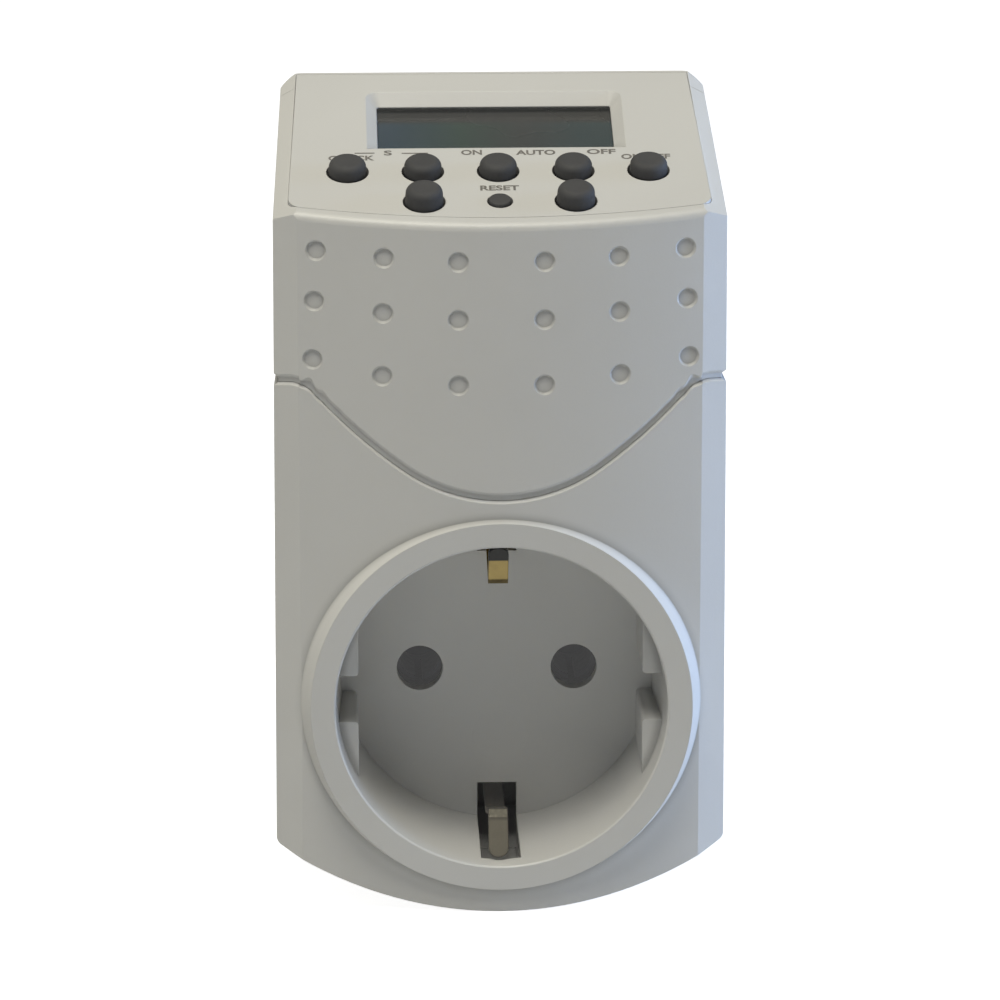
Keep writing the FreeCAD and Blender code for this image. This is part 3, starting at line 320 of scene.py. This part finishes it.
# Clear window: mostly see-through, with its own gloss and a few faint smears
def windowMaterial():
    look = {"color": (0.26, 0.27, 0.28), "smearColor": (0.3, 0.31, 0.32), "smearScale": 120.0,
            "roughness": (0.04, 0.1), "alpha": 0.12, "ior": 1.49}
    material, tree, shader = newMaterial("clear_window")
    smear = noise(tree, objectPlace(tree), look["smearScale"], 2.0, 0.5)
    tree.links.new(spread(tree, smear, *look["roughness"]), shader.inputs["Roughness"])
    tree.links.new(blendColors(tree, smear, look["color"], look["smearColor"]),
                   shader.inputs["Base Color"])
    shader.inputs["Alpha"].default_value = look["alpha"]
    shader.inputs["IOR"].default_value = look["ior"]
    return material


displayGlass = displayMaterial()
clearWindow = windowMaterial()

finishes = {
    shell: ["lower_front_cover", "timer_front_cover", "control_panel", "rear_housing"],
    floorShell: ["socket_floor"],
    carrierPlastic: ["contact_carrier"],
    framePlastic: ["lcd_frame"],
    innerPlastic: ["relay", "bridge_rectifier", "timer_chip", "board_link"],
    rubber: ["keypad_mat", "lcd_contact_strips"],
    laminateGreen: ["control_board"],
    laminateBrown: ["power_board"],
    filmYellow: ["dropper_capacitor"],
    sleeveBlue: ["smoothing_capacitor"],
    varistorBlue: ["varistor"],
    wireBrown: ["live_feed_wire"],
    wireBlack: ["switched_live_wire"],
    wireBlue: ["neutral_wire"],
    nickel: ["live_pin", "neutral_pin", "quartz_crystal", "backup_battery"],
    strapBrass: ["earth_strap_upper"],
    strapShadedBrass: ["earth_strap_lower"],
    sleeveMetal: ["live_contact", "neutral_contact"],
    brass: ["earth_bridge", "neutral_link"],
    zinc: ["housing_screws", "board_screws"],
    displayGlass: ["lcd_module"],
    clearWindow: ["lcd_window"],
    keyPlastic: ["clock_key", "summer_key", "mode_key", "timer_key", "on_off_key", "hour_key",
                 "minute_key", "reset_key"],
}
for material, names in finishes.items():
    for name in names:
        nodes[name].data.materials.clear()
        nodes[name].data.materials.append(material)
print("materials done")


# Labels in plain capitals, flat on the panel: word, middle x, middle s, width, all in millimetres
labels = {"height": 1.15, "lift": 0.02, "bold": 0.03, "color": (0.16, 0.15, 0.14), "words": [
    ("label_clock", "CLOCK", -17.5, 11.55, 5.5), ("label_summer", "S", -13.1, 12.7, 0.95),
    ("label_on", "ON", -3.05, 12.7, 2.5), ("label_auto", "AUTO", 4.65, 12.6, 4.75),
    ("label_off", "OFF", 12.55, 12.7, 3.45), ("label_on_off", "ON/OFF", 17.85, 11.5, 5.9),
    ("label_reset", "RESET", 0.05, 4.45, 4.65)],
    "lines": [("label_line_left", -17.1, -14.7, 12.7), ("label_line_right", -11.45, -8.3, 12.6)],
    "lineWidth": 0.2, "steps": 6}
inkLook = {"color": labels["color"], "driftColor": (0.22, 0.21, 0.2), "driftScale": 900.0,
           "grainScale": 4200.0, "roughness": 0.55, "roughSpread": 0.08,
           "grainStrength": 0.2, "grainDepth": 0.01, "edge": 0.0}
ink = plastic("label_ink", inkLook)


def keepPiece(name, mesh, material, body="timer"):
    piece = bpy.data.objects.new(name, mesh)
    bpy.context.scene.collection.objects.link(piece)
    mesh.materials.clear()
    mesh.materials.append(material)
    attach(piece, body)
    return piece


def makeWord(name, word, x, s, width):
    curve = bpy.data.curves.new(name, "FONT")
    curve.body = word
    curve.fill_mode = "FRONT"
    curve.resolution_u = labels["steps"]
    curve.offset = labels["bold"]
    holder = bpy.data.objects.new(name + "_text", curve)
    bpy.context.scene.collection.objects.link(holder)
    mesh = bpy.data.meshes.new_from_object(holder)
    bpy.data.objects.remove(holder)
    spots = np.empty(len(mesh.vertices) * 3)
    mesh.vertices.foreach_get("co", spots)
    spots = spots.reshape(-1, 3)
    low, high = spots.min(0), spots.max(0)
    flat = spots - (low + high) / 2
    flat[:, 0] *= width / (high[0] - low[0])
    flat[:, 1] *= labels["height"] / (high[1] - low[1])
    flat[:, 2] = labels["lift"]
    mesh.vertices.foreach_set("co", ((flat + [x, s, 0]) * mm).ravel())
    mesh.transform(panelFrame)
    mesh.update()
    keepPiece(name, mesh, ink)


for word in labels["words"]:
    makeWord(*word)
for name, x0, x1, s in labels["lines"]:
    half = labels["lineWidth"] / 2
    corners = [(x0, s - half), (x1, s - half), (x1, s + half), (x0, s + half)]
    mesh = bpy.data.meshes.new(name)
    mesh.from_pydata([(x * mm, t * mm, labels["lift"] * mm) for x, t in corners], [],
                     [(0, 1, 2, 3)])
    mesh.transform(panelFrame)
    keepPiece(name, mesh, ink)
print("labels done")


# Key mat: a flat sheet with a round hole and a hollow dome under each key. A dome is the closed
# surface (x + r cos a, s + r sin a, h) along its profile of (r, h).
mat = {"thickness": 0.6, "wall": 0.5, "steps": 32, "slack": 0.01,
       "dome": (2.4, 1.6), "resetDome": (1.9, 1.2)}


def panelSpots(name):
    back = np.array(panelFrame.inverted())
    spots = np.array([corner.co for corner in nodes[name].data.vertices])
    return (spots @ back[:3, :3].T + back[:3, 3]) / mm


def circle(x, s, radius):
    turns = np.arange(mat["steps"]) * math.tau / mat["steps"]
    return [(x + radius * math.cos(turn), s + radius * math.sin(turn)) for turn in turns]


def makeDome(key, x, s, radii, base, top):
    sheetTop = base + mat["thickness"]
    roof = top - mat["thickness"]
    fall = radii[0] - radii[1]
    outer = radii[0] - fall * (sheetTop - base) / (top - base)
    inner = radii[0] - mat["wall"] - fall * (sheetTop - base) / (roof - base)
    profile = [(outer, sheetTop), (radii[1], top), (radii[1] - mat["wall"], roof),
               (inner, sheetTop)]
    steps = mat["steps"]
    corners = [(a * mm, b * mm, h * mm) for radius, h in profile for a, b in circle(x, s, radius)]
    faces = [tuple(range(steps, 2 * steps)), tuple(reversed(range(2 * steps, 3 * steps)))]
    for ring, above in ((0, 1), (2, 3), (3, 0)):
        for n in range(steps):
            m = (n + 1) % steps
            faces.append((ring * steps + n, ring * steps + m, above * steps + m, above * steps + n))
    mesh = bpy.data.meshes.new("dome_" + key)
    mesh.from_pydata(corners, [], faces)
    mesh.transform(panelFrame)
    dome = keepPiece("dome_" + key, mesh, rubber)
    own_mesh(dome)


def makeMat():
    spots = panelSpots("keypad_mat")
    low, high = spots.min(0), spots.max(0)
    outlines = [[(low[0], low[1]), (high[0], low[1]), (high[0], high[1]), (low[0], high[1])]]
    for key in ("clock", "summer", "mode", "timer", "on_off", "hour", "minute", "reset"):
        cap = panelSpots(key + "_key")
        x, s = ((cap.min(0) + cap.max(0)) / 2)[:2]
        radii = mat["resetDome"] if key == "reset" else mat["dome"]
        outlines.append(circle(x, s, radii[0] - mat["wall"]))
        makeDome(key, x, s, radii, low[2], high[2])
    curve = bpy.data.curves.new("mat_sheet", "CURVE")
    curve.dimensions = "2D"
    curve.fill_mode = "BOTH"
    curve.extrude = mat["thickness"] / 2
    for outline in outlines:
        line = curve.splines.new("POLY")
        line.points.add(len(outline) - 1)
        for point, (x, s) in zip(line.points, outline):
            point.co = (x, s, 0, 1)
        line.use_cyclic_u = True
    holder = bpy.data.objects.new("mat_sheet_outline", curve)
    bpy.context.scene.collection.objects.link(holder)
    mesh = bpy.data.meshes.new_from_object(holder)
    bpy.data.objects.remove(holder)
    mesh.transform(Matrix.Scale(mm, 4) @ Matrix.Translation((0, 0, low[2] + mat["thickness"] / 2)))
    mesh.transform(panelFrame)
    work = bmesh.new()
    work.from_mesh(mesh)
    bmesh.ops.remove_doubles(work, verts=work.verts, dist=0.001 * mm)
    bmesh.ops.recalc_face_normals(work, faces=work.faces)
    work.to_mesh(mesh)
    work.free()
    sheet = keepPiece("mat_sheet", mesh, rubber)
    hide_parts("keypad_mat")


makeMat()
print("key mat done")


# Light, floor and camera
def addLamp(name, place, aim, size, power, color):
    lamp = bpy.data.lights.new(name, "AREA")
    lamp.shape = "RECTANGLE"
    lamp.size, lamp.size_y = size
    lamp.energy = power
    lamp.color = color
    holder = bpy.data.objects.new(name, lamp)
    bpy.context.scene.collection.objects.link(holder)
    holder.location = place
    holder.rotation_euler = (Vector(aim) - Vector(place)).to_track_quat("-Z", "Y").to_euler()


middle = (0, -0.034, 0.02)
lamps = {
    "lamp_above": {"place": (-0.05, -0.12, 0.8), "size": (0.35, 0.3), "power": 1.9,
                   "color": (1.0, 0.96, 0.79)},
    "lamp_front": {"place": (-0.1, -0.34, 0.78), "size": (0.4, 0.3), "power": 3.45,
                   "color": (1.0, 0.97, 0.88)},
    "lamp_right": {"place": (0.65, 0.0, 0.1), "size": (0.3, 0.3), "power": 2.9,
                   "color": (0.42, 0.62, 1.0)},
    "lamp_left": {"place": (-0.6, 0.05, 0.06), "size": (0.3, 0.2), "power": 0.45,
                  "color": (1.0, 0.98, 0.85)},
    "lamp_fill": {"place": (-0.15, -0.85, 0.1), "size": (0.5, 0.4), "power": 0.26,
                  "color": (0.85, 0.93, 1.0)},
    "lamp_low_right": {"place": (0.35, -0.03, 0.0), "size": (0.1, 0.05), "power": 0.45,
                       "color": (0.6, 0.74, 1.0)}}
for name, lamp in lamps.items():
    addLamp(name, lamp["place"], middle, lamp["size"], lamp["power"], lamp["color"])

world = bpy.data.worlds.new("studio")
bpy.context.scene.world = world
world.use_nodes = True
worldTree = world.node_tree
backdrop = worldTree.nodes["Background"]
backdropLevel = {"lit": 0.05, "seen": 1.0}
rays = addNode(worldTree, "LightPath")
level = spread(worldTree, rays.outputs["Is Camera Ray"], backdropLevel["lit"],
               backdropLevel["seen"], 0.0, 1.0)
worldTree.links.new(level, backdrop.inputs["Strength"])
backdrop.inputs["Color"].default_value = (1, 1, 1, 1)

floorLook = {"half": 3.0, "height": -0.0261, "color": (0.72, 0.72, 0.72), "lift": 0.9,
             "roughness": 0.9, "patchScale": 6.0, "patchShare": 0.98}
floorMaterial, floorTree, floorShader = newMaterial("floor_paint")
floorShader.inputs["Roughness"].default_value = floorLook["roughness"]
floorPlace = objectPlace(floorTree)
floorPatch = noise(floorTree, floorPlace, floorLook["patchScale"])
floorColor = blendColors(floorTree, floorPatch, floorLook["color"],
                         tuple(floorLook["patchShare"] * part for part in floorLook["color"]))
floorTree.links.new(floorColor, floorShader.inputs["Base Color"])
glow = addNode(floorTree, "Emission")
floorRays = addNode(floorTree, "LightPath")
seen = spread(floorTree, floorRays.outputs["Is Camera Ray"], 0.0, floorLook["lift"], 0, 1)
floorTree.links.new(seen, glow.inputs["Strength"])
both = addNode(floorTree, "AddShader")
floorTree.links.new(floorShader.outputs["BSDF"], both.inputs[0])
floorTree.links.new(glow.outputs["Emission"], both.inputs[1])
floorTree.links.new(both.outputs["Shader"], floorTree.nodes["Material Output"].inputs["Surface"])
floorMesh = bpy.data.meshes.new("floor")
reach = floorLook["half"]
floorCorners = [(-reach, -reach), (reach, -reach), (reach, reach), (-reach, reach)]
floorMesh.from_pydata([(x, y, floorLook["height"]) for x, y in floorCorners], [], [(0, 1, 2, 3)])
floorMesh.materials.append(floorMaterial)
floor = bpy.data.objects.new("floor", floorMesh)
bpy.context.scene.collection.objects.link(floor)

cameraData = bpy.data.cameras.new("camera")
view = {"place": (-0.02296, -0.6727, 0.1910), "pitch": 75.125, "yaw": -2.096, "lens": 194.4,
        "sensor": 36.0}
cameraData.lens = view["lens"]
cameraData.sensor_width = view["sensor"]
camera = bpy.data.objects.new("camera", cameraData)
bpy.context.scene.collection.objects.link(camera)
camera.location = view["place"]
camera.rotation_euler = (math.radians(view["pitch"]), 0, math.radians(view["yaw"]))
bpy.context.scene.camera = camera
bpy.context.scene.view_settings.view_transform = "Standard"
print("light and camera done")
